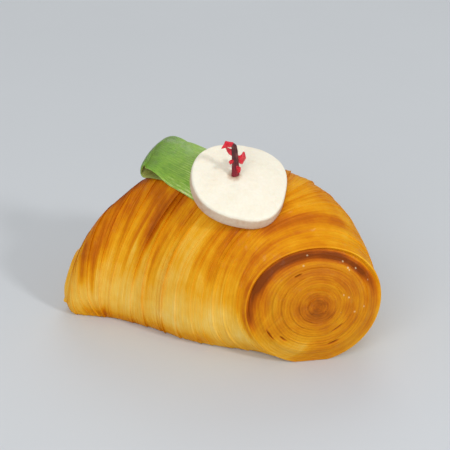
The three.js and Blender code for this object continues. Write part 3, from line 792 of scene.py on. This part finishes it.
def makeLeekLeaf():
    # a moist ribbed leaf: lighter along its veins, with painted glossy highlights on them near the
    # slice, deep green between them, deeper near the fold with painted shade, lighter at its long edges
    # with painted light, olive inside, paler inside the loop with painted light, with a glossy film
    # that comes and goes
    material, tree, shader, place = newMaterial("leekLeaf", {
        "Specular IOR Level": 0.4, "Subsurface Weight": 0.35, "Subsurface Scale": 0.0015,
        "Subsurface Radius": (0.5, 1.0, 0.2), "Coat Roughness": 0.18})
    vein, way, outer = carried(tree, "vein"), carried(tree, "way"), carried(tree, "outer")
    lineTone, lineRidge = fibres(tree, 5.5, 0.22)
    patches = mottle(tree, place, 260.0)
    # the veins grow paler towards the slice, some more than others: their own paler colour, with painted
    # glossy highlights along them
    veinsAndGlints = product(tree, product(tree, vein, stretched(tree, way, 0.66, 0.9, -0.1, -0.6)), lineTone)
    # painted shade: a deeper green along the lower part of the strip and at the fold, where it bends over,
    # fading along the returning part
    foldShade = stretched(tree, way, 0.66, 0.5, 0.0, 0.3)
    # lip lightens the strip's long edges: painted light on their shade
    tone = weighed(tree, [(veinsAndGlints, 1.0), (lineRidge, 0.24), (patches, 0.16), (foldShade, 1.0), (outer, 0.06),
                          (carried(tree, "lip"), -0.2)], 0.24, clamped=True)
    color = ramp(tree, tone, [(0, 206, 224, 148), (0.24, 148, 186, 68), (0.5, 116, 160, 46),
                              (0.75, 94, 124, 38), (1, 78, 92, 34)])
    # the inner face: dark olive along the lower part, and paler inside the loop as painted light on its shade
    innerPaintedLight = ramp(tree, way, [(0.3, 122, 118, 54), (0.42, 190, 184, 104)])
    finished(tree, shader, {
        "Base Color": mixed(tree, stretched(tree, outer, 0, 1, 0.7, 0.0), color, innerPaintedLight),
        "Roughness": stretched(tree, lineRidge, 0, 1, 0.3, 0.52),
        "Coat Weight": stretched(tree, patches, 0.3, 0.8, 0.1, 0.5),
    }, weighed(tree, [(lineRidge, 1.0), (vein, 0.6)]), 0.5, 0.16)
    return material


leekSkin, leekValues = leekGrid()
makePiece("leek_leaf", "leek_strip", [(0, leekSkin, None)], [makeLeekLeaf()], leekValues)

# The pale slice, in mm.
pale = {
    "x": 7.7, "y": -7.7, "z": 53, "radius": 15.1, "thick": 5, "bendX": 150, "bendY": 45,
    "facing": (0.3, -0.32, 0.9), "edge": 0.05, "edgePower": 2.8, "around": 220, "gap": 0.3,
}
paleFacing = unit(np.array(pale["facing"]))
paleRight = unit(np.array([1, 0, 0]) - paleFacing * paleFacing[0])
paleBack = np.cross(paleFacing, paleRight)
paleOrigin = np.array([pale["x"], pale["y"], pale["z"]])


def leekTop(x, y):
    # the height of the doubled strip's outer face over (x, y), and far below anything past its edges
    det = sin(leekWide - leekRun)
    dx, dy = x - leek["x"], y - leek["y"]
    long = (dx * sin(leekWide) - dy * cos(leekWide)) / det
    across = (dy * cos(leekRun) - dx * sin(leekRun)) / det
    side = np.clip(across / (leek["width"] / 2), -1, 1)
    radius = foldRadius(side)
    f = np.clip((long - radius) / (leek["long"] - radius), 0, 1)
    top = restHeight(x, y) + leek["thick"] + foldHeight(f, side) + 0.15
    past = np.maximum(np.abs(across) - leek["width"] / 2 - 0.3, long - leek["long"] - 0.3)
    return top - 12 * np.clip(past, 0, 10)


def paleRadius(a):
    # a circle with low lumps: waves that go round two, three and four times
    lumps = 0.012 * np.cos(2 * a - 1.1) + 0.033 * np.cos(3 * a + 2.5) + 0.019 * np.cos(4 * a + 1.8)
    corner = 0.06 * hump((np.mod(a + pi, fullTurn) - pi + 0.55) / 0.75)
    return pale["radius"] * (1 + lumps + corner)


def paleGrid():
    # rings from the middle of the underside, round the rounded edge, to the middle of the top; the
    # round is bent over the shell, and its underside lies on what carries it
    bottom = np.linspace(0.04, 1 - pale["edge"], 30)
    bend = np.linspace(-pi / 2, pi / 2, 25)[1:-1]
    edgeR = 1 - pale["edge"] + pale["edge"] * powered(np.cos(bend), pale["edgePower"])
    edgeH = 0.5 + 0.5 * powered(np.sin(bend), pale["edgePower"])
    top = np.linspace(1 - pale["edge"], 0.03, 64)
    r = joined(bottom, edgeR, top)[:, None]
    h = joined(0 * bottom, edgeH, 0 * top + 1)[:, None]
    a = wayRound(pale["around"])
    radius = paleRadius(a) * r
    x, y = radius * np.cos(a), radius * np.sin(a)
    drop = x * x / (2 * pale["bendX"]) + y * y / (2 * pale["bendY"])
    topShare = softStep(0.5, 1, h)
    cloud = uneven(x / 4 + 20, 0.5 + y / 60, 52, 15, 3)
    grain = uneven(x / 0.9 + 60, 0.5 + y / 60, 53, 66, 3)
    dish = 0.02 * pale["thick"] * softStep(1, 0.2, r)
    relief = topShare * ((0.45 * cloud + 0.16 * grain) * softStep(-0.1, 0.05, r) + dish)
    side = hump((h - 0.5) / 0.5) * 0.2 * uneven(h * 4 + 3, a / fullTurn, 54, 30, 3)
    high = pale["thick"] * h - drop + relief
    right, back = (x + side * np.cos(a))[..., None], (y + side * np.sin(a))[..., None]
    place = paleOrigin + right * paleRight + back * paleBack + high[..., None] * paleFacing
    onShell = restHeight(place[..., 0], place[..., 1])
    carriers = np.maximum(onShell, leekTop(place[..., 0], place[..., 1]))
    place[..., 2] += softStep(0.85, 0.0, h) * np.clip(carriers - place[..., 2], 0, 5)
    # side is 1 on the cut side, which the flesh's material paints darker as shade
    return place, {"side": withPoles(softStep(0.97, 0.75, h) + 0 * a, (0, 0))}


# The dried sprig, in mm and degrees.
sprig = {
    "height": 11.7, "radius": 1.15, "taper": 0.34, "petalThick": 0.55, "right": -1.8, "up": -1.2,
    "upright": (0.06, -0.14, 1), "side": (0.905, 0.426, 0),
    # each petal's swing round the stem and its corners: how far out from the stem and how high
    "petals": [
        (18, [(0.1, 10.9), (-1.4, 10.4), (-2.6, 10.9), (-4.7, 11.3), (-3.5, 12.5), (-3.1, 13.3), (-0.4, 12)]),
        (-16, [(-0.3, 9.3), (-0.4, 6.9), (-1.9, 7.1), (-2.6, 8.1), (-3.2, 9.5)]),
        (30, [(-0.3, 5.9), (-0.5, 4.8), (-1.8, 4.6), (-2.3, 5.7), (-1.6, 6.1)]),
        (22, [(0.3, 7.2), (1.9, 6.7), (3.1, 7.6), (3.7, 6.9), (4.1, 4.6), (2.6, 3), (0.5, 4.8)]),
        (-20, [(0.4, 3.8), (2.1, 3.5), (1.9, 1.6), (0.6, 0.7)]),
    ],
}
sprigUpright = unit(np.array(sprig["upright"]))
sprigBack = unit(np.cross(sprigUpright, np.array(sprig["side"])))
sprigRight = np.cross(sprigBack, sprigUpright)
sprigFoot = paleOrigin + sprig["right"] * paleRight + sprig["up"] * paleBack + (
    pale["thick"] * 1.03 + pale["gap"]) * paleFacing


def makePaleFlesh():
    # soft cream flesh: faint cloudy tones and fine grain, its cut side darker as painted shade and a
    # little rosier, and darker and orange-brown round the foot of the sprig
    material, tree, shader, place = newMaterial("paleFlesh", {
        "Specular IOR Level": 0.25, "Subsurface Weight": 0.12, "Subsurface Scale": 0.002,
        "Subsurface Radius": (1.0, 0.7, 0.5)})
    clouds, grain = mottle(tree, place, 170.0), mottle(tree, place, 900.0)
    away = addNode(tree, "VectorMath", {0: place, 1: (sprigFoot * metresPerMm).tolist()},
                   operation="DISTANCE").outputs["Value"]
    # darker and orange-brown within a few millimetres of the sprig's foot
    footTint = stretched(tree, away, 0.0028, 0.0012, 0.0, 0.5)
    # the cut side: painted shade with a rosier tint
    side = carried(tree, "side")
    tone = weighed(tree, [(clouds, 0.22), (grain, 0.16), (side, 0.5), (footTint, 1.0)], clamped=True)
    color = ramp(tree, tone, [(0, 245, 241, 225), (0.3, 240, 232, 212), (0.5, 220, 202, 179),
                              (0.72, 206, 178, 152), (1, 186, 122, 74)])
    finished(tree, shader, {"Base Color": color, "Roughness": stretched(tree, clouds, 0, 1, 0.48, 0.66)},
             weighed(tree, [(grain, 1.0), (clouds, 0.8)]), 0.35, 0.18)
    return material


paleSkin, paleValues = paleGrid()
makePiece("pale_round", "pale_slice", [(0, paleSkin, None)], [makePaleFlesh()], paleValues)


def standing(points):
    # a point of the sprig's own frame, +Z up its stem, where the sprig stands on the slice
    return sprigFoot + points @ np.array([sprigRight, sprigBack, sprigUpright])


def stemSkin():
    # a bent rod with a ring of ridges that turn as they climb, rough as a dried stalk
    f = np.linspace(0, 1, 60)[:, None]
    a = wayRound(40)
    ridge = 1 + 0.13 * np.cos(3 * a + 2 * f) + 0.07 * np.cos(7 * f + a) + 0.07 * np.cos(9 * a + 9 * f)
    ridge = ridge + 0.16 * uneven(f * 16, a / fullTurn, 61, 6, 3)
    blunt = np.sqrt(1 - softStep(0.93, 1.02, f))
    radius = sprig["radius"] * (1 - sprig["taper"] * f) * ridge * blunt
    x = 0.25 * np.sin(3.1 * f) - 0.4 * f * f + radius * np.cos(a)
    y = 0.3 * np.sin(4 * f) + 0.8 * radius * np.sin(a)
    grid = standing(np.stack([x, y, sprig["height"] * f + 0 * a], -1))
    flow = np.stack([a * 1.1 + 0 * f, sprig["height"] * f + 0 * a, softStep(0.5, 0.1, f) + 0 * a], -1)
    return grid, flow


def petalSkin(number, swing, corners):
    # a thin angular chip: rings of points shrink from its outline to its middle on both faces, and
    # the whole is curled a little
    outline = np.array(corners + corners[:1], float)
    lengths = joined([0], np.cumsum(np.linalg.norm(np.diff(outline, axis=0), axis=1)))
    way = np.linspace(0, lengths[-1], 64, endpoint=False)
    ring = np.stack([np.interp(way, lengths, outline[:, 0]), np.interp(way, lengths, outline[:, 1])], -1)
    softened = (np.roll(ring, 1, 0) + 2 * ring + np.roll(ring, -1, 0)) / 4
    middle = softened.mean(0)
    share = joined(np.linspace(0.08, 1, 12), np.linspace(1, 0.08, 12))[:, None]
    face = joined(np.ones(12), -np.ones(12))[:, None]
    flat = middle + (softened - middle)[None] * share[..., None]
    crumple = 0.5 * uneven(flat[..., 0] * 0.9 + 9 * number, 0.5 + flat[..., 1] / 40, 70 + number, 30, 2)
    curl = 0.05 * flat[..., 0] ** 2 * (1 if number % 2 else -1)
    half = sprig["petalThick"] / 2 * np.sqrt(np.clip(1.04 - share**6, 0, 1))
    deep = face * half + (crumple + curl) * softStep(0.3, 1.6, np.abs(flat[..., 0]))
    turn = radians(swing)
    x = flat[..., 0] * cos(turn) - deep * sin(turn)
    y = flat[..., 0] * sin(turn) + deep * cos(turn)
    grid = standing(np.stack([x, y, flat[..., 1]], -1))
    flow = np.stack([flat[..., 0], flat[..., 1], 0 * flat[..., 0]], -1)
    return grid, flow


def makeDryStem():
    # dark purple-brown stalk, lighter on its ridges and redder at its foot
    material, tree, shader, place = newMaterial("dryStem", {"Specular IOR Level": 0.35})
    lineTone, lineRidge = fibres(tree, 3.5, 0.5)
    patches = mottle(tree, place, 700.0)
    tone = weighed(tree, [(lineTone, 0.6), (patches, 0.4)], clamped=True)
    color = ramp(tree, tone, [(0, 44, 18, 24), (0.5, 86, 40, 42), (1, 136, 78, 72)])
    redness = addNode(tree, "SeparateXYZ", {0: carried(tree, "flow", "Vector")}).outputs[2]
    finished(tree, shader, {
        "Base Color": mixed(tree, weighed(tree, [(redness, 0.6)]), color, tint(150, 14, 40)),
        "Roughness": stretched(tree, patches, 0, 1, 0.5, 0.75),
    }, lineRidge, 0.6, 0.15)
    return material


def makeRedPetal():
    # glossy translucent red, in deeper and clearer patches
    material, tree, shader, place = newMaterial("redPetal", {
        "Specular IOR Level": 0.35, "Subsurface Weight": 0.15, "Subsurface Scale": 0.001,
        "Subsurface Radius": (1.0, 0.15, 0.2), "Coat Roughness": 0.15})
    lineTone, lineRidge = fibres(tree, 2.2, 0.8)
    patches = mottle(tree, place, 520.0)
    tone = weighed(tree, [(patches, 0.65), (lineTone, 0.35)], clamped=True)
    finished(tree, shader, {
        "Base Color": ramp(tree, tone, [(0, 132, 4, 22), (0.45, 206, 8, 38), (1, 236, 30, 60)]),
        "Roughness": stretched(tree, lineRidge, 0, 1, 0.22, 0.42),
        "Coat Weight": stretched(tree, patches, 0.2, 0.9, 0.2, 0.6),
    }, patches, 0.5, 0.15)
    return material


stem, stemFlow = stemSkin()
skins, flows = [(0, stem, None)], [withPoles(stemFlow)]
for number, (swing, corners) in enumerate(sprig["petals"]):
    petal, petalFlow = petalSkin(number, swing, corners)
    skins.append((1, petal, None))
    flows.append(withPoles(petalFlow))
makePiece("dried_sprig", "red_sprig", skins, [makeDryStem(), makeRedPetal()],
          {"flow": joined(*flows)})


# The floor, in metres, and the lights and the camera, in mm and degrees.
studio = {
    "target": (-10, 20, 22), "azimuth": 25, "elevation": 28, "distance": 430, "lens": 100,
    "floor": (0.6, 0.63, 0.66), "floorFar": 3.0, "floorSunk": 0.0002, "world": 0.5,
    # each light: name, place in mm, size in mm, watts
    "lights": [
        ("key", (700, -240, 520), 110, 2.55),
        ("front", (40, -820, 560), 620, 3.85),
        ("back", (-260, 700, 700), 560, 1.6),
    ],
}


def makeFloor():
    # a pale square, a hair below what stands on it
    far, low = studio["floorFar"], -studio["floorSunk"]
    mesh = bpy.data.meshes.new("pale_floor")
    corners = [(-far, -far, low), (far, -far, low), (far, far, low), (-far, far, low)]
    mesh.from_pydata(corners, [], [(0, 1, 2, 3)])
    material, tree, shader, place = newMaterial("paleFloor", {"Specular IOR Level": 0.2, "Roughness": 0.8})
    lighter = [value * 1.04 for value in studio["floor"]]
    color = mixed(tree, mottle(tree, place, 3.0), (*studio["floor"], 1.0), (*lighter, 1.0))
    tree.links.new(color, shader.inputs["Base Color"])
    mesh.materials.append(material)
    linked("pale_floor", mesh)


def makeLights():
    target = Vector(studio["target"]) * metresPerMm
    for name, place, size, watts in studio["lights"]:
        light = bpy.data.lights.new(name, "AREA")
        light.size = size * metresPerMm
        light.energy = watts
        lamp = linked(name, light)
        lamp.location = Vector(place) * metresPerMm
        lamp.rotation_euler = (target - lamp.location).to_track_quat("-Z", "Y").to_euler()
    world = bpy.data.worlds.new("softRoom")
    world.use_nodes = True
    background = world.node_tree.nodes["Background"]
    background.inputs[0].default_value = (1, 1, 1, 1)
    background.inputs[1].default_value = studio["world"]
    bpy.context.scene.world = world


def makeCamera():
    a, e = radians(studio["azimuth"]), radians(studio["elevation"])
    back = Vector((sin(a) * cos(e), -cos(a) * cos(e), sin(e)))
    data = bpy.data.cameras.new("camera")
    data.lens = studio["lens"]
    data.sensor_width = 36
    camera = linked("camera", data)
    camera.location = (Vector(studio["target"]) + back * studio["distance"]) * metresPerMm
    camera.rotation_euler = back.to_track_quat("Z", "Y").to_euler()
    bpy.context.scene.camera = camera


makeFloor()
makeLights()
makeCamera()
bpy.context.scene.view_settings.view_transform = "Standard"
print("stage, lights and camera made")
